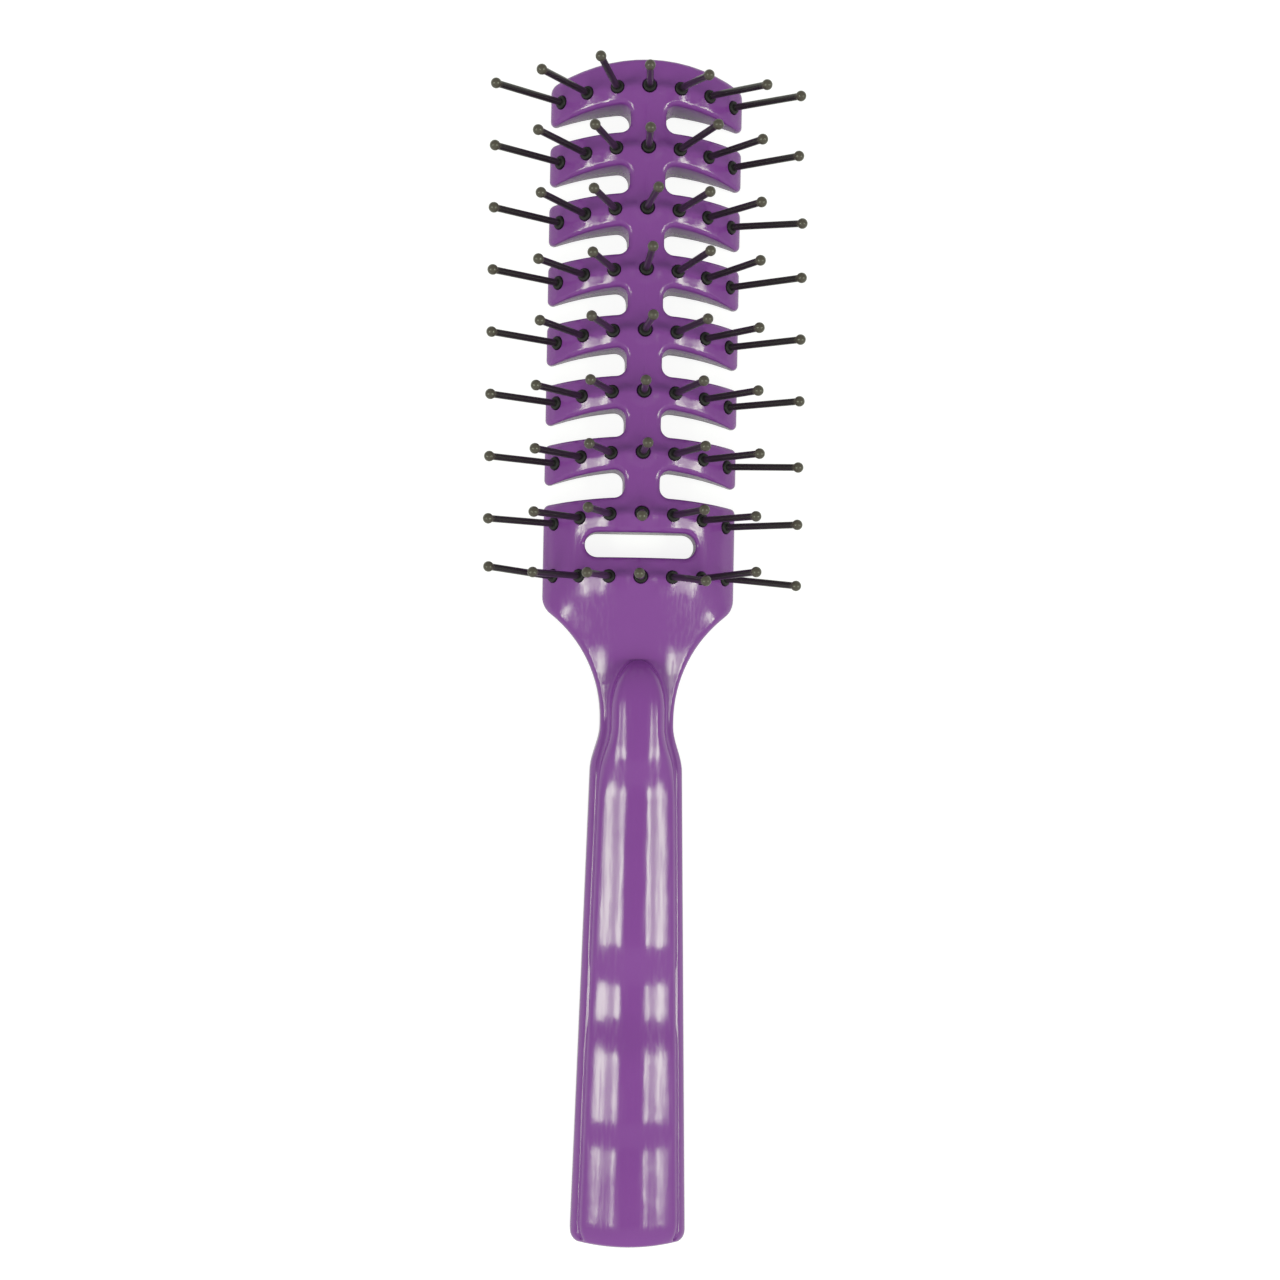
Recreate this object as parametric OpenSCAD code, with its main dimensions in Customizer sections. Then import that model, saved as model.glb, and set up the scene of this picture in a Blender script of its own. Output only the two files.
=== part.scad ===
// Vent brush, lying on its back with the pins up.
// One glossy moulded body carries seven open ribs, a slotted plate, a neck and a handle.
// Nine nylon strips of seven ball-tipped pins are pressed into channels in its back.
// X runs across the brush, Y from the tail to the tip, and Z is the way the pins point.

/* [Head] */
// Width across the ribs
head_width = 35.8; // [34:0.2:37]
// Height of the crown above the flat back, on the centre line
crown_height = 11; // [10:0.5:12.5]
// Radius of the crowned front, about an axis that runs along the brush
crown_radius = 23; // [22:0.5:26]
// Radius of the tip, seen from the front
tip_radius = 47; // [40:1:60]
// From the first row of pins to the tip
tip_margin = 5.1; // [4.5:0.1:7]
// From the last row of pins down to the end of the plate's straight sides
plate_margin = 4.2; // [3:0.2:6]
// Width of the spine that joins the ribs
spine_width = 6.6; // [5.5:0.2:8]
// Radius of the rounded rib ends, seen from the front
rib_corner = 1; // [0.6:0.1:1.4]
// Radius of the two corners at the tip
tip_corner = 1.5; // [1:0.1:2.5]
// Radius of the two corners at the lower end of the plate
plate_corner = 4; // [2:0.5:5]

/* [Vents] */
// Gap between two ribs beside the spine
vent_gap = 5.4; // [4.8:0.1:6]
// Radius of the rib edge on the tip side
rib_upper_radius = 111; // [90:1:140]
// Radius of the rib edge on the handle side
rib_lower_radius = 50; // [46:1:60]
// Corner radius of a vent beside the spine
vent_corner = 1.9; // [1:0.1:2.2]
// Length of the long slot between the last two rows
slot_length = 20.8; // [16:0.2:24]
// Width of the long slot
slot_width = 4.7; // [4.2:0.1:5.2]

/* [Rows of pins] */
// Distance between neighbouring rows on the ribs
row_pitch = 11.33; // [11:0.05:12]
// Distance between the last two rows, each side of the long slot
slot_row_gap = 11.8; // [11.4:0.1:13]
// Radius of the arc that a row follows, seen from the front
row_arc_radius = 68.5; // [60:0.5:90]
// Pins in a row
pins_per_row = 7; // [5:1:7]
// From the outermost pins to the side of the head
pin_edge_margin = 1.65; // [1.6:0.05:2.4]

/* [Pins] */
// Length of a pin from the crown to the centre of its ball
pin_length = 17; // [14:0.5:20]
// Diameter of the stem
pin_diameter = 1.27; // [1:0.05:1.5]
// Diameter of the ball on the tip
ball_diameter = 1.94; // [1.7:0.02:2.4]
// Diameter of the root that fills the hole in the crown
root_diameter = 2.4; // [2:0.1:2.6]
// How far the root stands proud of the crown
root_rise = 0.5; // [0.3:0.1:0.8]
// Radius of the root's rounded shoulder
root_shoulder = 0.3; // [0.1:0.05:0.3]
// Length over which a leaning pin bends
bend_length = 3; // [2:0.5:4]

/* [Strips] */
// Width of the bar that joins the pins of a row
strip_width = 3.8; // [3.2:0.1:4]
// Thickness of that bar
strip_thickness = 1.6; // [1.2:0.1:1.8]
// Wall of the crown in front of a strip
front_wall = 1.6; // [1.3:0.1:2]
// How far a bar runs past its last root
bar_end = 0.2; // [0.1:0.05:0.4]
// Clearance around a bar in its channel
strip_clearance = 0.1; // [0.05:0.01:0.15]
// Clearance around a root in its hole
root_clearance = 0.05; // [0.02:0.01:0.08]
// How far a bar stays above the back
back_recess = 0.3; // [0.2:0.1:0.4]

/* [Neck and handle] */
// From the tail to the narrowest point of the neck
handle_length = 99.9; // [85:1:115]
// From the neck up to the end of the plate's straight sides
taper_length = 21.1; // [20:0.1:24]
// Radius of the hollow sides between plate and neck
taper_radius = 22; // [21:0.5:24]
// Width of the neck
neck_width = 13.7; // [12.5:0.1:15]
// Length of the shoulder where the neck widens into the handle
shoulder_length = 10; // [8:0.5:14]
// Straight length of the neck below its narrowest point
neck_straight = 1.5; // [0.5:0.1:3]
// Width of the handle below the shoulder
grip_width = 17.3; // [16:0.1:18.5]
// Width of the handle at the tail
tail_width = 21.7; // [19:0.1:24]
// Height of the handle's base at its middle
base_height = 10.4; // [9.5:0.1:11]
// Radius of the long edges on the front of the handle
front_edge = 1.6; // [1:0.1:2]
// Radius of the long edges on the back of the handle
back_edge = 2.6; // [1.5:0.1:3]
// Radius of the long edges where the neck meets the head
neck_edge = 0.4; // [0.3:0.05:0.8]
// Radius of the edges round the tail
tail_edge = 2.2; // [1.5:0.1:2.6]
// How far the tail bulges past its corners
tail_bulge = 0.6; // [0:0.1:1]
// Length of the handle over which that bulge fades out
bulge_length = 20; // [10:1:30]

/* [Raised grip] */
// Height of the raised grip above the back, along the palm
grip_height = 12.5; // [12.2:0.1:13.4]
// How much higher the raised grip is at the neck
neck_rise = 0.9; // [0.3:0.1:1]
// Middle of the step down from the neck, from the tail
neck_step_place = 88.9; // [84:0.5:92]
// Length of that step
neck_step_length = 9.4; // [6:0.2:10]
// Depth of the dip for the fingers
dip_depth = 0.7; // [0.3:0.1:0.8]
// Middle of the dip's slope on the head side, from the tail
dip_upper_place = 53.4; // [50:0.5:60]
// Middle of the dip's slope on the tail side, from the tail
dip_lower_place = 40.1; // [36:0.5:44]
// Length of each slope of the dip
dip_slope_length = 9.6; // [7:0.2:11]
// How much lower the raised grip is at the tail
tail_step = 0.4; // [0.2:0.1:0.6]
// Middle of the step down to the tail, from the tail
tail_step_place = 21.9; // [18:0.5:26]
// Length of that step
tail_step_length = 5.6; // [4:0.2:8]
// How far the raised grip rolls down at the tail
grip_end_drop = 3; // [2:0.1:4]
// Length of that roll
grip_end_length = 6; // [4:0.2:8]
// Radius of the raised grip's crowned top
grip_crown = 10.7; // [10:0.1:14]
// Bare land beside the raised grip
land_width = 2; // [1.6:0.1:2.6]
// Length of the raised grip's arched start, above the neck
arch_length = 9.9; // [8:0.1:12]
// Height of the raised grip above the plate at the top of the arch
arch_step = 0.6; // [0.4:0.1:0.8]

/* [Hidden] */

body_colour = [0.53, 0.31, 0.62];
pin_colour = [0.16, 0.14, 0.13];
curved_rows = 8;
last_row = 9;
through = 1;        // how far a cutter reaches past the surface that it opens
corner_steps = 4;   // flats in a rounded corner
blend_lap = 0.1;    // how far the neck stands proud of the head where the two blend
neck_overlap = 2;   // how far the head and the base of the neck reach into each other
arc_lap = 0.03;     // how far the plate's corner arc crosses the taper's arc, so that they meet
least_edge = 0.3;   // smallest radius of a rounded edge that is drawn in at the tail
grip_rings = 44;    // rings along the raised grip up to the neck
arch_rings = 8;     // rings along its arched start
$fn = 64;

// Heights of the crown
half_width = head_width / 2;
axis_z = crown_height - crown_radius;
seat_radius = crown_radius - front_wall;
bar_radius = seat_radius - strip_thickness;
root_radius = root_diameter / 2;

// Places along the brush, from the tail
neck_y = handle_length;
plate_end_y = neck_y + taper_length;
last_row_y = plate_end_y + plate_margin;
eighth_row_y = last_row_y + slot_row_gap;
tip_y = row_y(1) + tip_margin;
slot_y = (last_row_y + eighth_row_y) / 2;
middle_y = tip_y / 2;

// Fan of the pins
outer_angle = asin((half_width - pin_edge_margin) / crown_radius);
pin_step = 2 * outer_angle / (pins_per_row - 1);
strip_half_length = seat_radius * sin(outer_angle) + root_radius + bar_end;

// Pins that use has set askew: row, column, degrees toward +X, degrees toward the tip
askew = [[1, 3, 3, 3], [1, 4, -3, -4], [1, 5, -2, -7], [1, 6, 3, -5], [1, 7, -4, -3],
         [2, 2, -2, 2], [2, 4, -2, -3], [2, 5, 5, 3], [2, 7, -5, -2],
         [3, 2, 1, 2], [3, 4, 4, 0], [3, 7, 0, -5],
         [4, 4, 1, 3], [4, 5, 1, 3], [4, 6, 0, 3],
         [5, 2, 2, 1], [5, 4, 2, 0], [6, 4, -2, -1], [6, 5, -2, 1], [7, 6, 2, 0], [7, 7, 0, -3],
         [8, 4, -3, -6], [9, 1, 1, 4], [9, 4, -4, 0], [9, 5, 2, -4], [9, 6, 1, 3], [9, 7, 0, -5]];

function row_y(row) = row == last_row ? last_row_y : eighth_row_y + (curved_rows - row) * row_pitch;
function arc_drop(radius, x) = radius - sqrt(radius * radius - x * x);
function row_drop(row, x) = row == last_row ? 0 : arc_drop(row_arc_radius, x);
function pin_angle(column) = (column - (pins_per_row + 1) / 2) * pin_step;
function lean(row, column, way) =
    let (found = [for (pin = askew) if (pin[0] == row && pin[1] == column) pin[way]])
    len(found) > 0 ? found[0] : 0;

// Places of the vents: halfway between two rows on the ribs
vents = [for (row = [1 : curved_rows - 1]) (row_y(row) + row_y(row + 1)) / 2];

// Eases from 0 to 1 with level ends
function ease(t) = let (u = min(1, max(0, t))) u * u * (3 - 2 * u);

// Solid skinned over closed rings of points that all have the same count
module skin(rings) {
    count = len(rings[0]);
    last = len(rings) - 1;
    points = [for (ring = rings) each ring];
    sides = [for (r = [0 : last - 1], i = [0 : count - 1])
        let (a = r * count + i, b = r * count + (i + 1) % count)
        each [[a, b + count, b], [a, a + count, b + count]]];
    caps = [[for (i = [0 : count - 1]) i], [for (i = [count - 1 : -1 : 0]) last * count + i]];
    polyhedron(points = points, faces = concat(sides, caps));
}

// Solid with vertical walls under the crowned front, reaching down past the back
module under_crown(radius, bottom) {
    intersection() {
        translate([0, 0, bottom]) linear_extrude(crown_radius * 2) children();
        translate([0, 0, axis_z]) rotate([-90, 0, 0])
            cylinder(r = radius, h = tip_y + through);
    }
}

// Waste outside a rounded corner at the origin, whose metal lies toward -X and up * Y
module corner_waste(radius, up) {
    arc = [for (i = [0 : corner_steps])
        radius * [sin(i * 90 / corner_steps) - 1, up * (1 - cos(i * 90 / corner_steps))]];
    polygon(concat([[-radius, -up * through], [through, -up * through]],
                   [[through, up * radius]], [for (i = [corner_steps : -1 : 0]) arc[i]]));
}

// The head seen from the front, with the taper to the neck
module head_outline() {
    tip_corner_y = tip_y - arc_drop(tip_radius, half_width);
    bottom = neck_y - neck_overlap;
    corner_x = half_width - plate_corner;
    run = neck_width / 2 + taper_radius - corner_x;
    corner_y = neck_y + sqrt(pow(taper_radius + plate_corner - arc_lap, 2) - run * run);
    meet_x = corner_x + run * plate_corner / (taper_radius + plate_corner);
    difference() {
        intersection() {
            translate([-half_width, bottom]) square([head_width, tip_y - bottom]);
            union() {
                translate([0, tip_y - tip_radius]) circle(tip_radius, $fn = 180);
                translate([-half_width, bottom]) square([head_width, tip_corner_y - bottom]);
            }
        }
        for (side = [0, 1]) mirror([side, 0]) {
            translate([neck_width / 2 + taper_radius, neck_y]) circle(taper_radius, $fn = 120);
            translate([neck_width / 2, bottom - through]) square([half_width, neck_overlap + through]);
            difference() {
                translate([meet_x, neck_y])
                    square([half_width - meet_x + through, corner_y - neck_y]);
                translate([corner_x, corner_y]) circle(plate_corner);
            }
            translate([half_width, tip_corner_y]) corner_waste(tip_corner, -1);
        }
    }
}

// One open vent on the +X side, between the edges of two ribs
module vent_outline(y) {
    half_gap = vent_gap / 2;
    inner = spine_width / 2;
    lower_edge = y - half_gap - arc_drop(rib_upper_radius, half_width);
    upper_edge = y + half_gap - arc_drop(rib_lower_radius, half_width);
    intersection() {
        difference() {
            translate([0, y + half_gap - rib_lower_radius]) circle(rib_lower_radius, $fn = 180);
            translate([0, y - half_gap - rib_upper_radius]) circle(rib_upper_radius, $fn = 240);
        }
        union() {
            translate([inner + vent_corner, y - head_width])
                square([half_width, 2 * head_width]);
            translate([inner, y - half_gap + vent_corner])
                square([2 * vent_corner, vent_gap - 2 * vent_corner]);
            for (side = [-1, 1])
                translate([inner + vent_corner, y + side * (half_gap - vent_corner)])
                    circle(vent_corner);
        }
    }
    translate([half_width, lower_edge]) corner_waste(rib_corner, -1);
    translate([half_width, upper_edge]) corner_waste(rib_corner, 1);
}

// The long slot across the plate
module slot_outline() {
    straight = slot_length - slot_width;
    translate([-straight / 2, slot_y - slot_width / 2]) square([straight, slot_width]);
    for (side = [-1, 1]) translate([side * straight / 2, slot_y]) circle(d = slot_width);
}

// A row's bar seen from the front, larger all round by grow
module bar_outline(row, grow) {
    half = strip_width / 2 + grow;
    reach = strip_half_length + grow;
    intersection() {
        translate([-reach, row_y(row) - head_width / 2]) square([2 * reach, head_width]);
        if (row == last_row)
            translate([-head_width, row_y(row) - half]) square([2 * head_width, 2 * half]);
        else
            translate([0, row_y(row) - row_arc_radius]) difference() {
                circle(row_arc_radius + half, $fn = 240);
                circle(row_arc_radius - half, $fn = 240);
            }
    }
}

// Moves its children to a pin's place on the crown's axis, turned to the pin's direction
module at_pin(row, column) {
    angle = pin_angle(column);
    translate([0, row_y(row) - row_drop(row, crown_radius * sin(angle)), axis_z])
        rotate([0, angle, 0]) children();
}

module head() {
    difference() {
        under_crown(crown_radius, 0) head_outline();
        for (y = vents, side = [0, 1])
            mirror([side, 0, 0]) translate([0, 0, -through])
                linear_extrude(crown_height + 2 * through) vent_outline(y);
        translate([0, 0, -through]) linear_extrude(crown_height + 2 * through) slot_outline();
        for (row = [1 : last_row]) {
            under_crown(seat_radius, -through) bar_outline(row, strip_clearance);
            for (column = [1 : pins_per_row]) at_pin(row, column)
                translate([0, 0, seat_radius - strip_thickness])
                    cylinder(r = root_radius + root_clearance, h = front_wall + strip_thickness + through);
        }
    }
}

// Half width of the handle at a distance y from the tail
function handle_half(y) =
    let (shoulder = neck_y - shoulder_length,
         grip = grip_width / 2 + (tail_width - grip_width) / 2 * (1 - min(1, y / shoulder)))
    grip + (neck_width / 2 - grip) * ease((y - shoulder) / (shoulder_length - neck_straight));

// Share of the way from the handle's rounded edges to the neck's crisp ones
function crispness(y) = ease((y - neck_y + shoulder_length) / shoulder_length);

// Height of the base on the centre line, which rises to the head's crown at the neck
function base_top(y) = base_height + (crown_height - base_height) * crispness(y);

// Ring round the base of the handle, drawn in from its full size by inset
function base_ring(y, inset) =
    let (half = handle_half(y) + blend_lap * crispness(y) - inset,
         front = max(least_edge, front_edge + (neck_edge - front_edge) * crispness(y) - inset),
         back = max(least_edge, back_edge + (neck_edge - back_edge) * crispness(y) - inset),
         centre_z = base_top(y) + blend_lap * crispness(y) - crown_radius,
         curve = crown_radius - inset,
         corner_x = half - front,
         corner_angle = asin(corner_x / (curve - front)),
         corner_z = centre_z + (curve - front) * cos(corner_angle),
         right = concat(
             [for (i = [0 : 3]) curve * [sin(corner_angle * i / 4), cos(corner_angle * i / 4)]
                                + [0, centre_z]],
             [for (i = [0 : 4]) let (a = corner_angle + (90 - corner_angle) * i / 4)
                 [corner_x, corner_z] + front * [sin(a), cos(a)]],
             [for (i = [0 : 4]) [half - back, inset + back]
                                + back * [cos(i * 22.5), -sin(i * 22.5)]]),
         left = [for (i = [len(right) - 1 : -1 : 1]) [-right[i][0], right[i][1]]],
         fade = max(0, 1 - y / bulge_length))
    [for (p = concat(right, left)) [p[0], y + tail_bulge * fade * pow(p[0] / half, 2), p[1]]];

// The base of the neck and handle: a flat back, rounded long edges and a rounded tail
module handle_base() {
    steps = 5;
    tail = [for (i = [0 : steps - 1]) let (a = 90 * i / steps)
        base_ring(tail_edge * (1 - cos(a)), tail_edge * (1 - sin(a)))];
    grip_end = neck_y - shoulder_length;
    grip = [for (i = [0 : 17]) base_ring(tail_edge + (grip_end - tail_edge) * i / 18, 0)];
    neck = [for (i = [0 : 8]) base_ring(grip_end + (shoulder_length + neck_overlap / 4) * i / 8, 0)];
    buried = [base_ring(neck_y + neck_overlap, least_edge * 2)];
    skin(concat(tail, grip, neck, buried));
}

// Rises from 0 to 1 across a slope of some length about its middle
function slope(y, place, length) = ease((y - place) / length + 0.5);

// Height of the raised grip on its centre line
function grip_top(y) =
    let (arch_foot = crown_height + arch_step,
         tail_level = grip_height - tail_step,
         palm = tail_level + tail_step * slope(y, tail_step_place, tail_step_length),
         dip = slope(y, dip_lower_place, dip_slope_length) - slope(y, dip_upper_place, dip_slope_length),
         level = palm - dip_depth * dip + neck_rise * slope(y, neck_step_place, neck_step_length),
         arch = ease((y - neck_y) / arch_length),
         roll = max(0, 1 - y / grip_end_length))
    level + (arch_foot - level) * arch - grip_end_drop * (1 - sqrt(1 - roll * roll));

// Half width of the raised grip: it leaves a bare land each side and starts in an arch
function grip_half(y) =
    let (t = max(0, (y - neck_y) / arch_length))
    y <= neck_y ? handle_half(y) - land_width
                : (neck_width / 2 - land_width) * sqrt(max(0, 1 - t * t));

// Ring round the raised grip, from its sunk foot up over its crowned top
function grip_ring(y) =
    let (half = grip_half(y),
         top = grip_top(y),
         foot = crown_height / 2,
         edge = asin(half / grip_crown),
         arc = [for (i = [-4 : 4]) let (a = edge * i / 4)
             [grip_crown * sin(a), top - grip_crown * (1 - cos(a))]])
    [for (p = concat([[-half, foot]], arc, [[half, foot]])) [p[0], y, p[1]]];

// The raised grip: a long crowned pad with an arched start, two steps and a dip for the fingers
module raised_grip() {
    start = tail_edge / 2;
    along = [for (i = [0 : grip_rings - 1]) start + (neck_y - start) * i / grip_rings];
    arch = [for (i = [0 : arch_rings - 1]) neck_y + arch_length * sin(90 * i / (arch_rings - 0.25))];
    skin([for (y = concat(along, arch)) grip_ring(y)]);
}

module brush_body() {
    color(body_colour) translate([0, -middle_y, 0]) union() {
        head();
        handle_base();
        raised_grip();
    }
}

// One pin on the crown's axis: a root with a rounded shoulder, then a stem with a ball.
// A leaning pin bends over a short length just above its root.
module pin(row, column) {
    stem = pin_diameter / 2;
    top = crown_radius + root_rise;
    side = lean(row, column, 2);
    along = lean(row, column, 3);
    bend = sqrt(side * side + along * along);
    foot = bar_radius + strip_thickness / 2;
    shoulder = [for (i = [0 : 3]) [root_radius, top] - root_shoulder * [1 - cos(i * 30), 1 - sin(i * 30)]];
    rotate_extrude() polygon(concat([[0, foot], [root_radius, foot]], shoulder, [[0, top]]));
    if (bend == 0) {
        translate([0, 0, top - root_rise])
            cylinder(r = stem, h = crown_radius + pin_length - top + root_rise);
        translate([0, 0, crown_radius + pin_length]) sphere(d = ball_diameter);
    } else {
        curve = bend_length * 180 / (PI * bend);
        straight = pin_length - bend_length;
        rotate([0, 0, atan2(along, side)]) translate([0, 0, crown_radius]) {
            translate([curve, 0, 0]) rotate([90, 0, 0]) rotate([0, 0, 180 - bend])
                rotate_extrude(angle = bend) translate([curve, 0]) circle(stem);
            translate([curve, 0, 0]) rotate([0, bend, 0]) translate([-curve, 0, 0]) {
                cylinder(r = stem, h = straight);
                translate([0, 0, straight]) sphere(d = ball_diameter);
            }
        }
    }
}

// A strip of pins: a curved bar that seats against the front wall, with a row of pins on it
module bristle_strip(row) {
    color(pin_colour) translate([0, -middle_y, 0]) union() {
        difference() {
            under_crown(seat_radius, back_recess) bar_outline(row, 0);
            translate([0, 0, axis_z]) rotate([-90, 0, 0])
                cylinder(r = bar_radius, h = tip_y + through);
        }
        for (column = [1 : pins_per_row]) at_pin(row, column) pin(row, column);
    }
}

brush_body();
bristle_strip(1);  // bristle_strip_1
bristle_strip(2);  // bristle_strip_2
bristle_strip(3);  // bristle_strip_3
bristle_strip(4);  // bristle_strip_4
bristle_strip(5);  // bristle_strip_5
bristle_strip(6);  // bristle_strip_6
bristle_strip(7);  // bristle_strip_7
bristle_strip(8);  // bristle_strip_8
bristle_strip(9);  // bristle_strip_9
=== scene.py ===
import math
import bmesh
import bpy
from mathutils import Matrix, Vector


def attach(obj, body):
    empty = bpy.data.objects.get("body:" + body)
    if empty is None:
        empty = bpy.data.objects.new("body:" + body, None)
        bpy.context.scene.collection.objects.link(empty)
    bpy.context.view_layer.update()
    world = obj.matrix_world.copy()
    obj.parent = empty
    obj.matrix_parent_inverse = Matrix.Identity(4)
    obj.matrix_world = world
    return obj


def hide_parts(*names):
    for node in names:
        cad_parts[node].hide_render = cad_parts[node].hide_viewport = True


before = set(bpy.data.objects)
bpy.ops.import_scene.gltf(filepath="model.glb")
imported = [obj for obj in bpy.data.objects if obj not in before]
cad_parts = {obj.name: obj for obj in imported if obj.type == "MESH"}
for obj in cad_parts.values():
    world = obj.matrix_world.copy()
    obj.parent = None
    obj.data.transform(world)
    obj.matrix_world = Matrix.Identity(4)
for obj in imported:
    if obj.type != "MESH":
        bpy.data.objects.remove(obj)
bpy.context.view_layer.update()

# ---------------------------------------------------------------- camera
# The brush is photographed from straight above, a little to the left of its middle.
# The brush's sizes are in millimetres, and each piece is turned into metres as it is finished.
# The sizes in the finishes and of the table and lamps are in metres.
MM = 0.001
camera = bpy.data.objects.new("camera", bpy.data.cameras.new("camera"))
bpy.context.scene.collection.objects.link(camera)
camera.data.sensor_width = 36
camera.data.lens = 57.55
camera.data.clip_end = 10
camera.matrix_world = Matrix.LocRotScale(
    Vector((-18.85, 1.18, 389.43)) * MM,
    Matrix(((0.99858, -0.01838, -0.04991), (0.0182, 0.99983, -0.00409), (0.04998, 0.00317, 0.99875))),
    None)
bpy.context.scene.camera = camera

# ---------------------------------------------------------------- moulded body: head
# Glossy purple plastic, moulded in one piece from the tip of the head to the tail.
# The head is an arched plate with rounded rims. Seven vents a side leave eight curved ribs on a
# spine, and a long slot crosses the plate. Each rib falls away a little from its line of pins.
HEAD_HALF = 18.15
CROWN_RADIUS = 23.0
CROWN_TOP = 11.0
RIM = 0.9
MIDDLE = 110.705
NECK_Y = 98.4
NECK_HALF = 6.85
TAPER_RADIUS = 24.9
PLATE_CORNER = 4.0
TIP_CORNER = 1.6
RIB_CORNER = 1.0
VENT_CORNER = 1.9
ROW_PITCH = 11.33
ROWS = [137.0 + ROW_PITCH * (7 - k) for k in range(8)] + [125.2]
ROW_ARC = 68.5
SLOT_Y = 131.1
SLOT_HALF = 10.4
SLOT_RADIUS = 2.35
TIP_Y = 221.41
TIP_RADIUS = 47.0
VENT_HALF = 2.7
UPPER_EDGE = 50.0
LOWER_EDGE = 111.0
SPINE_HALF = 3.3
OUTER_PIN = 16.25
OUTER_ANGLE = math.asin(OUTER_PIN / CROWN_RADIUS)
RIB_FALL = 0.45
LINE_ROUND = 0.2
SLOT_END_FADE = (9.5, 4.5)
SIDE_FADE = (11, 6.8)
BEND = 0.23
BEND_START, BEND_LENGTH = 126.5, 5.5
LEVEL_START, LEVEL_LENGTH = 113.5, 7.0
BOSS_RISE, BOSS_RADIUS, BOSS_BLEND = 0.16, 1.9, 1.4
PIN_RISE, PIN_RING, PIN_BLEND = 0.07, 1.4, 0.9
SLICE_ACROSS, SLICE_ALONG, OFF_GRID = 0.75, 0.737, 0.013
BACK_BELOW = 2
SAME_SPOT = 0.0005
PIN_LINES = [CROWN_RADIUS * math.sin(OUTER_ANGLE * k / 3) for k in range(-3, 4)]


def arc_drop(radius, x):
    return radius - math.sqrt(radius * radius - x * x)


def crown(x, top=CROWN_TOP):
    return top - arc_drop(CROWN_RADIUS, x)


def ease(t):
    u = min(1.0, max(0.0, t))
    return u * u * (3 - 2 * u)


def rounded(corners, steps=7):
    """Points round an outline of (x, y, corner radius)."""
    points = []
    for i, (x, y, radius) in enumerate(corners):
        here = Vector((x, y))
        if radius == 0:
            points.append(here)
            continue
        before = (Vector(corners[i - 1][:2]) - here).normalized()
        after = (Vector(corners[i + 1][:2]) - here).normalized()
        half = before.angle(after) / 2
        centre = here + (before + after).normalized() * (radius / math.sin(half))
        start = here + before * (radius / math.tan(half)) - centre
        turn = start.angle_signed(here + after * (radius / math.tan(half)) - centre)
        points += [centre + Matrix.Rotation(-turn * k / steps, 2) @ start for k in range(steps + 1)]
    return points


def head_side():
    """The right edge of the head from the neck to the tip, as (x, y, corner radius)."""
    side = [(NECK_HALF, NECK_Y - 4, 0), (NECK_HALF, NECK_Y - 1.5, 0)]
    taper = Vector((NECK_HALF + TAPER_RADIUS, NECK_Y))
    run = taper.x - HEAD_HALF + PLATE_CORNER
    reach = math.acos(run / (TAPER_RADIUS + PLATE_CORNER))
    corner = taper + (TAPER_RADIUS + PLATE_CORNER) * Vector((-math.cos(reach), math.sin(reach)))
    for k in range(17):
        a = reach * k / 16
        side.append((taper.x - TAPER_RADIUS * math.cos(a), taper.y + TAPER_RADIUS * math.sin(a), 0))
    for k in range(1, 8):
        a = reach * (1 - k / 7)
        side.append((corner.x + PLATE_CORNER * math.cos(a), corner.y - PLATE_CORNER * math.sin(a), 0))
    across = (SPINE_HALF, 6, 8, 10, 12, 14, 16, HEAD_HALF)
    radii = [VENT_CORNER] + [0] * 6 + [RIB_CORNER]
    for k in range(7, 0, -1):
        y = (ROWS[k - 1] + ROWS[k]) / 2
        low = [(x, y - VENT_HALF - arc_drop(LOWER_EDGE, x), r) for x, r in zip(across, radii)]
        high = [(x, y + VENT_HALF - arc_drop(UPPER_EDGE, x), r) for x, r in zip(across, radii)]
        side += list(reversed(low)) + high
    for x in (HEAD_HALF, 15, 12.5, 10, 7.5, 5, 2.5):
        side.append((x, TIP_Y - arc_drop(TIP_RADIUS, x), TIP_CORNER if x == HEAD_HALF else 0))
    return side


def plate(outlines, thickness, rim):
    """A filled outline with holes, raised to a thickness with rounded rims, as a bmesh."""
    data = bpy.data.curves.new("outline", "CURVE")
    data.dimensions = "2D"
    data.fill_mode = "BOTH"
    data.extrude = thickness / 2 - rim
    data.bevel_depth = rim
    data.bevel_resolution = 3
    data.offset = -rim
    for outline in outlines:
        spline = data.splines.new("POLY")
        spline.points.add(len(outline) - 1)
        for point, (x, y) in zip(spline.points, outline):
            point.co = (x, y, 0, 1)
        spline.use_cyclic_u = True
    curve = bpy.data.objects.new("outline", data)
    bpy.context.scene.collection.objects.link(curve)
    mesh = bpy.data.meshes.new_from_object(curve)
    bpy.data.objects.remove(curve)
    shape = bmesh.new()
    shape.from_mesh(mesh)
    bpy.data.meshes.remove(mesh)
    bmesh.ops.remove_doubles(shape, verts=shape.verts, dist=SAME_SPOT)
    bmesh.ops.translate(shape, verts=shape.verts, vec=(0, 0, thickness / 2))
    return shape


def sliced(shape, axis, places):
    """Cuts the faces of a bmesh along planes across one axis."""
    normal = Vector((0, 0, 0))
    normal[axis] = 1
    for place in places:
        everything = shape.verts[:] + shape.edges[:] + shape.faces[:]
        bmesh.ops.bisect_plane(shape, geom=everything, plane_co=normal * place, plane_no=normal,
                               dist=SAME_SPOT)


def row_line(row, x):
    """Distance from the tail to a row's line of pins, at a distance x from the middle."""
    return ROWS[row] - (0 if row == 8 else arc_drop(ROW_ARC, min(abs(x), HEAD_HALF)))


def ramp(distance, length):
    """A slope that sets in evenly over some length and then stays."""
    d = max(0.0, distance)
    return d * d / (2 * length) if d < length else d - length / 2


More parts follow.
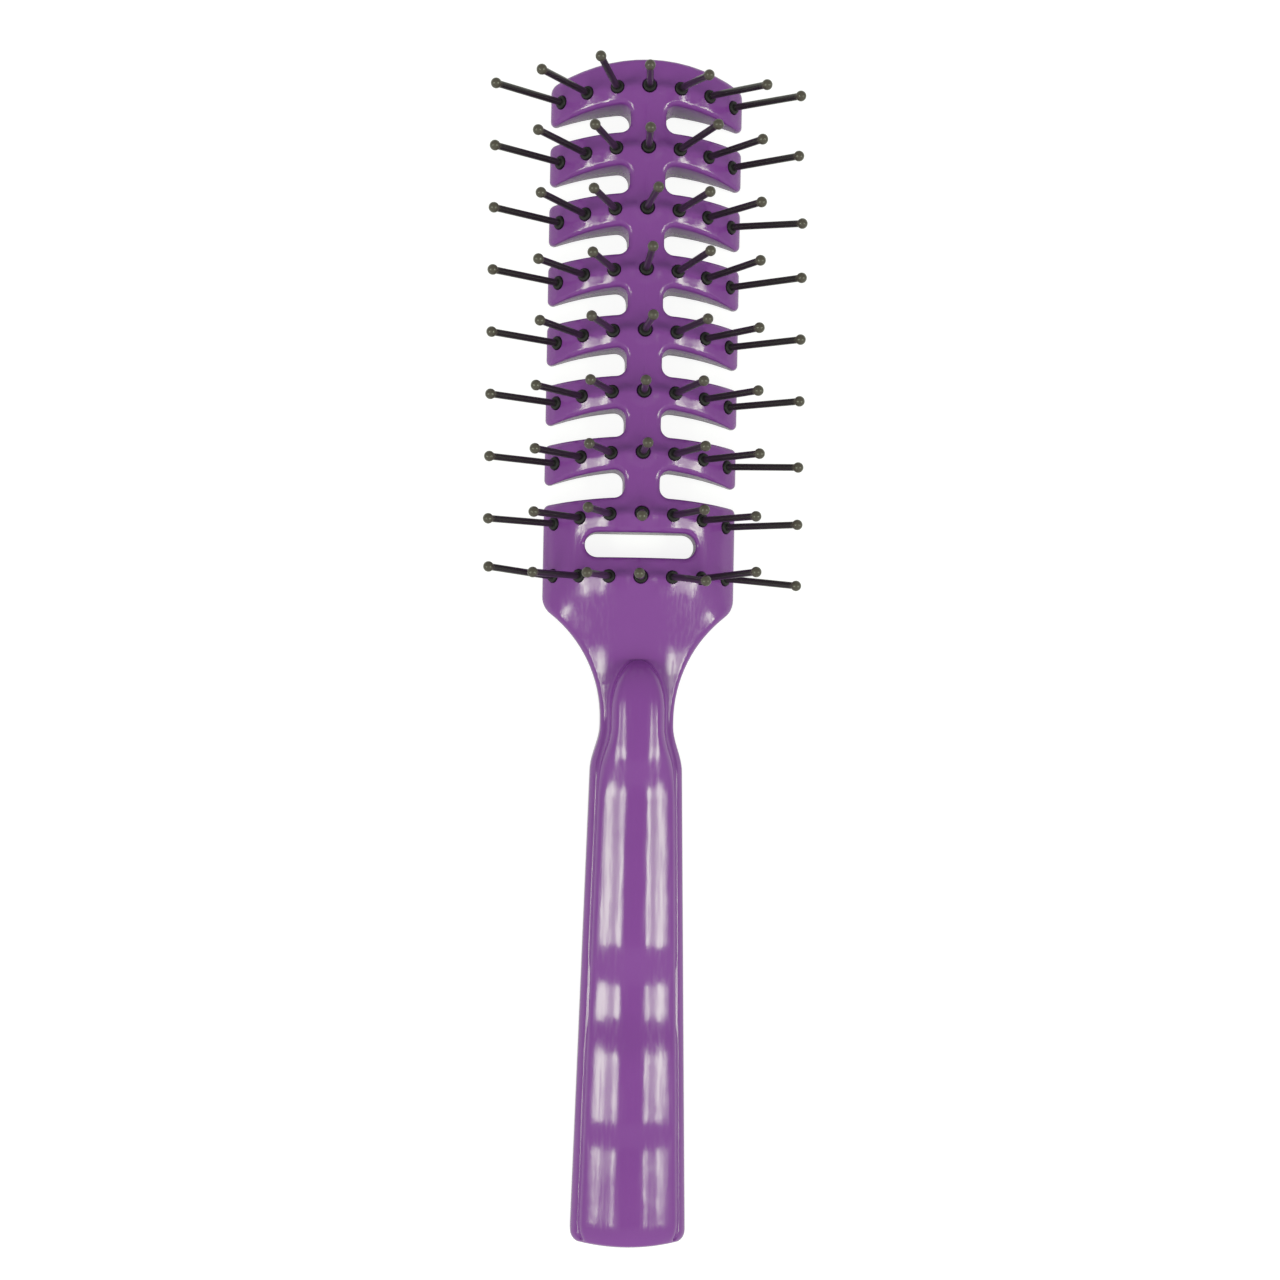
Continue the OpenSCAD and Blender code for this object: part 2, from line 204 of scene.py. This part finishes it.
def plate_fall(y):
    """The plate bends down below its last row of pins and levels out again at the neck."""
    return BEND * (ramp(BEND_START - y, BEND_LENGTH) - ramp(LEVEL_START - y, LEVEL_LENGTH))


def relief(x, y):
    """How far the front of the head lies below its full arch. The ribs fall away from their
    pins, and each pin stands on a low boss, which is wider on the spine. The fall fades out
    towards the sides, which are thin."""
    lines = [row_line(row, x) for row in range(9)]
    away = min(abs(y - line) for line in lines)
    depth = RIB_FALL
    if y < lines[8]:
        depth = 0
    elif y < lines[7]:
        depth *= 1 - ease((abs(x) - SLOT_END_FADE[0]) / SLOT_END_FADE[1])
    wave = math.sin(min(1.0, away / (ROW_PITCH / 2)) * math.pi / 2)
    whole = math.sqrt(LINE_ROUND ** 2 + 1) - LINE_ROUND
    down = depth * (math.sqrt(LINE_ROUND ** 2 + wave * wave) - LINE_ROUND) / whole
    near = min(math.hypot(x - pin, y - row_line(row, pin)) for row in range(9) for pin in PIN_LINES)
    middle = min(math.hypot(x, y - row) for row in ROWS)
    boss = BOSS_RISE * (1 - ease((middle - BOSS_RADIUS) / BOSS_BLEND))
    boss += PIN_RISE * (1 - ease((near - PIN_RING) / PIN_BLEND))
    thin_side = ease((abs(x) - SIDE_FADE[0]) / SIDE_FADE[1])
    return (down + plate_fall(y)) * (1 - thin_side) - boss


right = rounded(head_side())
left = [Vector((-p.x, p.y)) for p in reversed(right)]
slot = [Vector((side * (SLOT_HALF - SLOT_RADIUS + SLOT_RADIUS * math.sin(math.radians(a))),
                SLOT_Y - side * SLOT_RADIUS * math.cos(math.radians(a))))
        for side in (1, -1) for a in range(0, 181, 12)]
body = plate([right + [Vector((0, TIP_Y))] + left, slot], CROWN_TOP, RIM)
sliced(body, 0, [OFF_GRID + SLICE_ACROSS * k for k in range(-23, 24)])
sliced(body, 1, [NECK_Y + SLICE_ALONG * k for k in range(1, 166)])
for v in body.verts:
    if v.co.z > BACK_BELOW:
        v.co.z += crown(v.co.x) - CROWN_TOP - relief(v.co.x, v.co.y)

# ---------------------------------------------------------------- moulded body: neck and handle
# The head's end is drawn out ring by ring into the neck and the handle, all in the same moulding.
# The handle's back is flat, its long edges are rounded, and its tail ends in a shallow curve.
SHOULDER = NECK_Y - 9.6
GRIP_HALF = 8.65
TAIL_HALF = 10.85
BASE_TOP = 9.4
FRONT_EDGE = 1.6
BACK_EDGE = 2.6
TAIL_EDGE = 2.2
SMALLEST_EDGE = 0.3
TAIL_BULGE, BULGE_LENGTH = 0.6, 20
NECK_BLEND, EDGE_BLEND = 8.5, 10.0
NECK_RINGS, NECK_STEP = 14, 1.0
HANDLE_START, HANDLE_RINGS, HANDLE_STEP = 16, 51, 1.6


def handle_half(y):
    grip = GRIP_HALF + (TAIL_HALF - GRIP_HALF) * (1 - min(1, y / SHOULDER))
    return grip + (NECK_HALF - grip) * ease((y - SHOULDER) / NECK_BLEND)


def base_top(y):
    """Height of the bare front beside the raised grip."""
    return BASE_TOP + (CROWN_TOP - plate_fall(y) - BASE_TOP) * ease((y - SHOULDER) / EDGE_BLEND)


def handle_point(y, inset, zone, side, share):
    """A point of the handle's skin. Its zone is front, back, front_edge or back_edge."""
    half = handle_half(y) - inset
    sharp = ease((y - SHOULDER) / EDGE_BLEND)
    front = max(SMALLEST_EDGE, FRONT_EDGE + (RIM - FRONT_EDGE) * sharp - inset)
    back = max(SMALLEST_EDGE, BACK_EDGE + (RIM - BACK_EDGE) * sharp - inset)
    high = base_top(y) - inset
    if zone == "front":
        x = share * (half - front)
        z = crown(x, high)
    elif zone == "front_edge":
        x = side * (half - front + front * math.sin(share))
        z = crown(x, high) - front * (1 - math.cos(share))
    elif zone == "back_edge":
        x = side * (half - back + back * math.sin(share))
        z = inset + back * (1 - math.cos(share))
    else:
        x = share * (half - back)
        z = inset
    return Vector((x, y + TAIL_BULGE * max(0, 1 - y / BULGE_LENGTH) * (x / half) ** 2, z))


bmesh.ops.bisect_plane(body, geom=body.verts[:] + body.edges[:] + body.faces[:], plane_co=(0, NECK_Y, 0),
                       plane_no=(0, 1, 0), clear_inner=True, dist=SAME_SPOT)
ring = [e for e in body.edges if e.is_boundary]
zones = {}
for v in {v for e in ring for v in e.verts}:
    flat = NECK_HALF - RIM
    face = "front" if v.co.z > BACK_BELOW else "back"
    if abs(v.co.x) <= flat + 2 * SAME_SPOT:
        zones[v] = (face, 1, v.co.x / flat)
    else:
        angle = math.asin(min(1, (abs(v.co.x) - flat) / RIM))
        zones[v] = (face + "_edge", math.copysign(1, v.co.x), angle)
rings = [(NECK_Y - NECK_STEP * k, 0.0) for k in range(1, NECK_RINGS + 1)]
rings += [(NECK_Y - HANDLE_START - HANDLE_STEP * k, 0.0) for k in range(HANDLE_RINGS)]
rings += [(TAIL_EDGE * (1 - math.sin(math.radians(a))), TAIL_EDGE * (1 - math.cos(math.radians(a))))
          for a in range(0, 91, 15)]
for y, inset in rings:
    grown = bmesh.ops.extrude_edge_only(body, edges=ring)["geom"]
    ring = [g for g in grown if isinstance(g, bmesh.types.BMEdge) and g.is_boundary]
    new = [g for g in grown if isinstance(g, bmesh.types.BMVert)]
    zones = {v: zones[e.other_vert(v)] for v in new for e in v.link_edges if e.other_vert(v) in zones}
    for v, zone in zones.items():
        v.co = handle_point(y, inset, *zone)
tail = bmesh.ops.contextual_create(body, geom=ring)["faces"]
bmesh.ops.triangulate(body, faces=tail)
SHARP_ANGLE = math.radians(38)


def placed(shape, name):
    """A finished bmesh, in millimetres from the tail, made an object in the brush's own frame."""
    bmesh.ops.translate(shape, verts=shape.verts, vec=(0, -MIDDLE, 0))
    bmesh.ops.scale(shape, verts=shape.verts, vec=(MM, MM, MM))
    bmesh.ops.recalc_face_normals(shape, faces=shape.faces)
    mesh = bpy.data.meshes.new(name)
    shape.to_mesh(mesh)
    shape.free()
    piece = bpy.data.objects.new(name, mesh)
    bpy.context.scene.collection.objects.link(piece)
    mesh.shade_smooth()
    mesh.set_sharp_from_angle(angle=SHARP_ANGLE)
    return piece


# ---------------------------------------------------------------- moulded body: raised grip
# A long crowned pad along the handle, moulded with it. It starts in an arch on the plate's lower
# end, steps down from the neck and again at the tail, and has a shallow dip for the fingers.
GRIP_HEIGHT = 12.5
GRIP_START = 1.3
NECK_RISE, NECK_RISE_Y, NECK_RISE_LENGTH = 1.05, 88.9, 9.4
DIP, DIP_FROM, DIP_TO, DIP_LENGTH = 1.0, 40.1, 53.4, 9.6
TAIL_STEP, TAIL_STEP_Y, TAIL_STEP_LENGTH = 0.4, 21.9, 5.6
TAIL_ROLL, TAIL_ROLL_LENGTH = 3, 4.6
TAIL_CORNER, TAIL_CORNER_LENGTH = 2.4, 5
LAND, LAND_GAIN = 1.6, 0.4
FLANK_SLOPE, RIDGE, FULL_HALF, NARROW_HALF = 0.7, 4.8, 7.2, 4.85
EDGE, EDGE_GAIN, EDGE_SHARE = 0.8, 0.5, 0.45
COVE, COVE_GAIN = 0.5, 0.7
NECK_FROM, NECK_FADE = 84, 10
ARCH_Y = 99.9
ARCH = 9.9
ARCH_STEP = 0.1
ARCH_END = 87
GRIP_RINGS, ARCH_RINGS = 120, 22
GRIP_FOOT = 5.5
FOOT_SINK = 0.03
NECK_CROWN = 8.5


def slope(y, place, length):
    return ease((y - place) / length + 0.5)


def rolled(y, length):
    """The share of a quarter circle's fall that is left at a distance from the tail."""
    return 1 - math.sqrt(1 - max(0, 1 - y / length) ** 2)


def grip_top(y):
    level = GRIP_HEIGHT - TAIL_STEP * (1 - slope(y, TAIL_STEP_Y, TAIL_STEP_LENGTH))
    level += NECK_RISE * slope(y, NECK_RISE_Y, NECK_RISE_LENGTH)
    level -= DIP * (slope(y, DIP_FROM, DIP_LENGTH) - slope(y, DIP_TO, DIP_LENGTH))
    nose = 1 - math.sqrt(1 - max(0.0, (y - ARCH_Y) / ARCH) ** 3)
    level += (CROWN_TOP - plate_fall(y) + ARCH_STEP - level) * nose
    return level - TAIL_ROLL * rolled(y, TAIL_ROLL_LENGTH)


def neck_share(y):
    """How much of the grip's section is the neck's: 0 along the handle and 1 at the neck."""
    return ease((y - NECK_FROM) / NECK_FADE)


def land(y):
    """Width of the bare strip beside the raised grip."""
    return LAND + LAND_GAIN * neck_share(y)


def grip_half(y):
    whole = handle_half(y) - land(y) - TAIL_CORNER * rolled(y, TAIL_CORNER_LENGTH)
    return whole if y <= ARCH_Y else whole * math.sqrt(max(0.0, 1 - ((y - ARCH_Y) / ARCH) ** 2))


def grip_drop(x, y):
    """How far the raised grip falls at a distance x from its middle. It is a ridge with straight
    flanks along the handle, and plainly round at the neck."""
    neck = neck_share(y)
    scale = FULL_HALF / max(grip_half(y), NARROW_HALF)
    flanks = FLANK_SLOPE * (math.hypot(x * scale, RIDGE) - RIDGE) / scale
    return flanks * (1 - neck) + (arc_drop(NECK_CROWN, x) * neck if neck > 0 else 0)


def grip_ring(y):
    """Points across the raised grip, from its sunk foot over its cove, edge and crowned top."""
    half, high = grip_half(y), grip_top(y)
    edge = min(EDGE + EDGE_GAIN * neck_share(y), half * EDGE_SHARE)
    flat = half - edge
    rim = []
    for k in range(7):
        a = math.radians(90 * k / 6)
        x = flat + edge * math.cos(a)
        rim.append((x, high - grip_drop(x, y) - edge * (1 - math.sin(a))))
    cove = COVE + COVE_GAIN * neck_share(y)
    foot = crown(half + cove, base_top(y)) - FOOT_SINK
    fall = rim[0][1] - foot
    for k in range(1, 6):
        a = math.radians(90 * k / 5)
        rim.insert(0, (half + cove * (1 - math.cos(a)), foot + fall * (1 - math.sin(a))))
    rim.insert(0, (half + cove, GRIP_FOOT))
    points = [(-x, z) for x, z in rim]
    points += [(flat * k / 9, high - grip_drop(flat * k / 9, y)) for k in range(-8, 9)]
    points += rim[::-1]
    return [Vector((x, y, z)) for x, z in points]


grip = bmesh.new()
along = [GRIP_START + (ARCH_Y - GRIP_START) * k / GRIP_RINGS for k in range(GRIP_RINGS + 1)]
along += [ARCH_Y + ARCH * math.sin(math.radians(ARCH_END * k / ARCH_RINGS))
          for k in range(1, ARCH_RINGS + 1)]
loops = []
for y in along:
    verts = [grip.verts.new(p) for p in grip_ring(y)]
    loops.append([grip.edges.new(pair) for pair in zip(verts, verts[1:] + verts[:1])])
for near, far in zip(loops, loops[1:]):
    bmesh.ops.bridge_loops(grip, edges=near + far)
for end in (loops[0], loops[-1]):
    bmesh.ops.contextual_create(grip, geom=end)

# ---------------------------------------------------------------- moulded body: channels and holes
# Nine curved channels in the back of the ribs take the strips of pins, and each pin comes through
# its own round hole, countersunk a little in the crown. They are left by the mould's cores.
# The cutters' slices and turns keep their edges off the edges of the body.
STRIP_HALF = 1.9
SEAT_RADIUS = 21.4
CLEARANCE = 0.1
HOLE_RADIUS = 1.25
SLIVER = 0.02 * MM
BAR_END = 1.4
STRIP_REACH = SEAT_RADIUS * math.sin(OUTER_ANGLE) + BAR_END + CLEARANCE
CUTTER_HEIGHT, CUTTER_FOOT = 12.0, -1.0
CUTTER_SLICE, CUTTER_OFF_GRID = 1.5, 0.388
DRILL_START, DRILL_END, DRILL_SIDES = 0.7, 0.8, 20
DRILL_TURN, DRILL_TURN_STEP = 0.07, 0.3
COUNTERSINK = ((0, -0.35), (0.05, -0.05), (0.2, 0.12), (0.3, DRILL_END))


def strip_outline(row, half, reach):
    """A row's bar seen from the front."""
    across = [reach * k / 12 for k in range(-12, 13)]
    ends = []
    for way, xs in ((1, across), (-1, across[::-1])):
        for x in xs:
            radius = ROW_ARC + way * half
            y = way * half if row == 8 else math.sqrt(radius * radius - x * x) - ROW_ARC
            ends.append(Vector((x, ROWS[row] + y)))
    return ends


def pin_place(row, column):
    """The line of a pin, from the axis of the arch outwards."""
    angle = OUTER_ANGLE * (column - 3) / 3
    foot = (0, row_line(row, CROWN_RADIUS * math.sin(angle)), CROWN_TOP - CROWN_RADIUS)
    return Matrix.Translation(foot) @ Matrix.Rotation(angle, 4, "Y")


def turned(profile, steps):
    """A closed shape turned about Z from a profile of (radius, height) that ends on the axis."""
    shape = bmesh.new()
    verts = [shape.verts.new((radius, 0, height)) for radius, height in profile]
    edges = [shape.edges.new(pair) for pair in zip(verts, verts[1:])]
    bmesh.ops.spin(shape, geom=verts + edges, cent=(0, 0, 0), axis=(0, 0, 1), angle=math.tau,
                   steps=steps, use_merge=True)
    bmesh.ops.remove_doubles(shape, verts=shape.verts, dist=SAME_SPOT)
    return shape


def gathered(target, shape, place=Matrix()):
    """Adds a copy of a bmesh to another at some place."""
    spare = bpy.data.meshes.new("spare")
    shape.to_mesh(spare)
    spare.transform(place)
    target.from_mesh(spare)
    bpy.data.meshes.remove(spare)


channels = bmesh.new()
for row in range(9):
    channel = plate([strip_outline(row, STRIP_HALF + CLEARANCE, STRIP_REACH)], CUTTER_HEIGHT, 0.0)
    sliced(channel, 0, [CUTTER_OFF_GRID + CUTTER_SLICE * k for k in range(-11, 11)])
    for v in channel.verts:
        top = CROWN_TOP - CROWN_RADIUS + math.sqrt(SEAT_RADIUS ** 2 - v.co.x ** 2)
        v.co.z = top if v.co.z > CUTTER_HEIGHT / 2 else CUTTER_FOOT
    gathered(channels, channel)
    channel.free()

drill_side = [(0, SEAT_RADIUS - DRILL_START), (HOLE_RADIUS, SEAT_RADIUS - DRILL_START)]
drill_side += [(HOLE_RADIUS + wider, CROWN_RADIUS + above) for wider, above in COUNTERSINK]
drill = turned(drill_side + [(0, CROWN_RADIUS + DRILL_END)], DRILL_SIDES)
holes = bmesh.new()
for row in range(9):
    for column in range(7):
        turn = Matrix.Rotation(DRILL_TURN + DRILL_TURN_STEP * column, 4, "Z")
        gathered(holes, drill, pin_place(row, column) @ turn)
drill.free()


def joined(piece, shape, operation):
    """Joins a shape to a piece or cuts it away, and keeps the result as the piece's own mesh."""
    tool = placed(shape, "tool")
    change = piece.modifiers.new("change", "BOOLEAN")
    change.operation = operation
    change.solver = "EXACT"
    change.object = tool
    bpy.context.view_layer.update()
    result = bpy.data.meshes.new_from_object(piece.evaluated_get(bpy.context.evaluated_depsgraph_get()))
    piece.modifiers.clear()
    piece.data = result
    bpy.data.objects.remove(tool)


moulding = placed(body, "moulding")
joined(moulding, grip, "UNION")
joined(moulding, holes, "DIFFERENCE")
joined(moulding, channels, "DIFFERENCE")
merged = bmesh.new()
merged.from_mesh(moulding.data)
bmesh.ops.remove_doubles(merged, verts=merged.verts, dist=SLIVER)
bmesh.ops.dissolve_degenerate(merged, edges=merged.edges, dist=SLIVER / 2)
bmesh.ops.holes_fill(merged, edges=[e for e in merged.edges if e.is_boundary])
bmesh.ops.delete(merged, geom=[e for e in merged.edges if e.is_wire], context="EDGES")
merged.to_mesh(moulding.data)
merged.free()
moulding.data.shade_smooth()
moulding.data.set_sharp_from_angle(angle=SHARP_ANGLE)
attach(moulding, "root")
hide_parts("brush_body")

# ---------------------------------------------------------------- purple plastic
# Coloured through and polished by the mould. It has slightly cloudy pigment, the faint waves of
# moulded plastic in its gloss, a faint witness line along the spine, and fine hairlines from use.


def add(tree, kind, sockets=None, **settings):
    """Adds a node: settings are its own properties, and sockets its inputs, as values or links."""
    node = tree.nodes.new(kind)
    for name, value in settings.items():
        setattr(node, name, value)
    for name, value in (sockets or {}).items():
        if isinstance(value, bpy.types.NodeSocket):
            tree.links.new(value, node.inputs[name])
        else:
            node.inputs[name].default_value = value
    return node


def material(name):
    """A new material, its node tree and its shader."""
    made = bpy.data.materials.new(name)
    made.use_nodes = True
    return made, made.node_tree, made.node_tree.nodes["Principled BSDF"]


plastic, tree, shader = material("purple_plastic")
shader.inputs["IOR"].default_value = 1.5
spot = add(tree, "ShaderNodeTexCoord").outputs["Object"]
cloud = add(tree, "ShaderNodeTexNoise", {"Vector": spot, "Scale": 60, "Detail": 5})
tint = add(tree, "ShaderNodeValToRGB", {"Fac": cloud.outputs["Fac"]})
shades = ((0.206, 0.048, 0.296, 1), (0.222, 0.054, 0.316, 1))
for stop, place, colour in zip(tint.color_ramp.elements, (0.3, 0.7), shades):
    stop.position, stop.color = place, colour
tree.links.new(tint.outputs["Color"], shader.inputs["Base Color"])
stretched = add(tree, "ShaderNodeMapping", {"Vector": spot, "Scale": (1, 0.06, 1),
                                            "Rotation": (0, 0, 0.25)})
hairs = add(tree, "ShaderNodeTexNoise", {"Vector": stretched.outputs["Vector"], "Scale": 2200,
                                         "Detail": 2})
wear = add(tree, "ShaderNodeMapRange", {"Value": hairs.outputs["Fac"], "From Min": 0.45, "From Max": 0.75,
                                        "To Min": 0.13, "To Max": 0.27})
tree.links.new(wear.outputs["Result"], shader.inputs["Roughness"])
waves = add(tree, "ShaderNodeTexNoise", {"Vector": spot, "Scale": 170, "Detail": 1.5})
where = add(tree, "ShaderNodeSeparateXYZ", {"Vector": spot})
from_middle = add(tree, "ShaderNodeMath", {0: where.outputs["X"]}, operation="ABSOLUTE")
line = add(tree, "ShaderNodeMapRange", {"Value": from_middle.outputs["Value"], "From Min": 0.0001,
                                        "From Max": 0.00035, "To Min": 1, "To Max": 0})
on_spine = add(tree, "ShaderNodeMapRange", {"Value": where.outputs["Y"], "From Min": 0.026,
                                            "From Max": 0.03})
witness = add(tree, "ShaderNodeMath", {0: line.outputs["Result"], 1: on_spine.outputs["Result"]},
              operation="MULTIPLY")
grain = add(tree, "ShaderNodeMath", {0: witness.outputs["Value"], 1: 0.35, 2: waves.outputs["Fac"]},
            operation="MULTIPLY_ADD")
ripple = add(tree, "ShaderNodeBump", {"Height": grain.outputs["Value"], "Strength": 0.5,
                                      "Distance": 0.00015})
tree.links.new(ripple.outputs["Normal"], shader.inputs["Normal"])
moulding.data.materials.clear()
moulding.data.materials.append(plastic)

# ---------------------------------------------------------------- strips of pins
# Nine near-black nylon strips, each moulded with seven pins that end in a small paler ball.
# Their roots, deep in the holes, carry a painted near-black shade for the shadow in the holes, and are
# duller.
nylon, tree, shader = material("pin_nylon")
spot = add(tree, "ShaderNodeTexCoord").outputs["Object"]
centre = add(tree, "ShaderNodeMapping", {"Vector": spot, "Location": (0, 0, 0.012), "Scale": (1, 0, 1)})
radius = add(tree, "ShaderNodeVectorMath", {0: centre.outputs["Vector"]}, operation="LENGTH")
tips = add(tree, "ShaderNodeMapRange", {"Value": radius.outputs["Value"], "From Min": 0.0388,
                                        "From Max": 0.0394})
paint = add(tree, "ShaderNodeMix", {"Factor": tips.outputs["Result"]}, data_type="RGBA")
paint.inputs["A"].default_value = (0.018, 0.013, 0.016, 1)
paint.inputs["B"].default_value = (0.072, 0.061, 0.047, 1)
# Painted shade: the pins' roots, in and just above their holes, are coloured near-black to stand in for
# the shadow in the holes.
roots = add(tree, "ShaderNodeMapRange", {"Value": radius.outputs["Value"], "From Min": 0.0236,
                                         "From Max": 0.0242})
painted_root_shade = add(tree, "ShaderNodeMix", {"Factor": roots.outputs["Result"]}, data_type="RGBA")
painted_root_shade.inputs["A"].default_value = (0.005, 0.004, 0.005, 1)
tree.links.new(paint.outputs["Result"], painted_root_shade.inputs["B"])
tree.links.new(painted_root_shade.outputs["Result"], shader.inputs["Base Color"])
dull = add(tree, "ShaderNodeMapRange", {"Value": roots.outputs["Result"], "To Min": 0.6, "To Max": 0.3})
tree.links.new(dull.outputs["Result"], shader.inputs["Roughness"])
for name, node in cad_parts.items():
    if name.startswith("bristle_strip"):
        node.data.materials.clear()
        node.data.materials.append(nylon)

# ---------------------------------------------------------------- table and light
# A white table under the brush, lit by two long softboxes, one to each side of the handle.
# Each softbox is dimmer along its middle than along its edges, as its reflections show.
TABLE_SIZE = 2.0
TABLE_DROP = 0.0002
TILTS = (("left", -43), ("right", 45))
INNER_SHARE, OUTER_SHARE = 0.8, 1.2
LAMP_DISTANCE = 4.0
LAMP_MIDDLE = -0.64
CORE_SIZE, CORE_BRIGHTNESS = (0.95, 0.75), 4.5
SIDE_SIZE, SIDE_BRIGHTNESS = (1.15, 0.64), 13.0
table_shape = bmesh.new()
bmesh.ops.create_grid(table_shape, x_segments=1, y_segments=1, size=TABLE_SIZE)
bmesh.ops.translate(table_shape, verts=table_shape.verts, vec=(0, 0, -TABLE_DROP))
table_mesh = bpy.data.meshes.new("table")
table_shape.to_mesh(table_mesh)
table_shape.free()
table = bpy.data.objects.new("table", table_mesh)
bpy.context.scene.collection.objects.link(table)
paper, tree, shader = material("white_table")
shader.inputs["Roughness"].default_value = 0.9
shader.inputs["Specular IOR Level"].default_value = 0.0
shader.inputs["Emission Color"].default_value = (1, 1, 1, 1)
seen = add(tree, "ShaderNodeLightPath")
shown = add(tree, "ShaderNodeMath",
            {0: seen.outputs["Is Camera Ray"], 1: seen.outputs["Is Transmission Ray"]},
            operation="ADD", use_clamp=True)
mirrored = add(tree, "ShaderNodeMath", {0: seen.outputs["Is Glossy Ray"], 1: 0.15}, operation="MULTIPLY")
plain = add(tree, "ShaderNodeMath", {0: shown.outputs["Value"], 1: mirrored.outputs["Value"]},
            operation="ADD")
glow = add(tree, "ShaderNodeMath", {0: plain.outputs["Value"], 1: 0.86}, operation="MULTIPLY")
tree.links.new(glow.outputs["Value"], shader.inputs["Emission Strength"])
shade = add(tree, "ShaderNodeMix", {"Factor": shown.outputs["Value"]}, data_type="RGBA")
shade.inputs["A"].default_value = (0.8, 0.8, 0.8, 1)
shade.inputs["B"].default_value = (0.25, 0.25, 0.25, 1)
tree.links.new(shade.outputs["Result"], shader.inputs["Base Color"])
table.data.materials.append(paper)


def softbox(name, tilt, size, brightness):
    """An oval lamp tilted from straight above, its size given along and across the brush."""
    lean = math.radians(tilt)
    lamp = bpy.data.objects.new(name, bpy.data.lights.new(name, "AREA"))
    bpy.context.scene.collection.objects.link(lamp)
    lamp.data.shape = "ELLIPSE"
    lamp.data.size, lamp.data.size_y = size
    lamp.data.energy = brightness * math.pi * size[0] * size[1] * math.pi / 4
    lamp.data.color = (1.0, 1.14, 0.84)
    place = Vector((math.sin(lean) * LAMP_DISTANCE, LAMP_MIDDLE, math.cos(lean) * LAMP_DISTANCE))
    lamp.location = place
    lamp.rotation_euler = (Vector((0, LAMP_MIDDLE, 0)) - place).to_track_quat("-Z", "Y").to_euler()


for side, tilt in TILTS:
    softbox(side + "_softbox", tilt, CORE_SIZE, CORE_BRIGHTNESS)
    softbox(side + "_inner_edge", tilt * INNER_SHARE, SIDE_SIZE, SIDE_BRIGHTNESS)
    softbox(side + "_outer_edge", tilt * OUTER_SHARE, SIDE_SIZE, SIDE_BRIGHTNESS)

# ---------------------------------------------------------------- room
# A grey room, lighter beyond the tail of the brush and a little lighter to its sides. The gloss of
# the handle and the ribs shows it wherever they don't show the softboxes.
world = bpy.data.worlds.new("studio")
bpy.context.scene.world = world
world.use_nodes = True
tree = world.node_tree
way = add(tree, "ShaderNodeTexCoord").outputs["Generated"]
parts = add(tree, "ShaderNodeSeparateXYZ", {"Vector": way})
aside = add(tree, "ShaderNodeMath", {0: parts.outputs["X"]}, operation="ABSOLUTE")
walls = add(tree, "ShaderNodeMapRange",
            {"Value": aside.outputs["Value"], "From Min": 0.75, "From Max": 0.95, "To Max": 0.35},
            interpolation_type="SMOOTHSTEP")
lean = add(tree, "ShaderNodeMath", {0: parts.outputs["Y"], 1: parts.outputs["Z"]}, operation="DIVIDE")
front = add(tree, "ShaderNodeMapRange",
            {"Value": lean.outputs["Value"], "From Min": -0.27, "From Max": -0.36},
            interpolation_type="SMOOTHSTEP")
open_side = add(tree, "ShaderNodeMath", {0: walls.outputs["Result"], 1: front.outputs["Result"]},
                operation="MAXIMUM")
level = add(tree, "ShaderNodeMapRange", {"Value": open_side.outputs["Value"], "To Min": 0.46,
                                         "To Max": 0.72})
tree.links.new(level.outputs["Result"], tree.nodes["Background"].inputs["Strength"])
tree.nodes["Background"].inputs["Color"].default_value = (1, 1, 1, 1)
bpy.context.scene.view_settings.view_transform = "Standard"
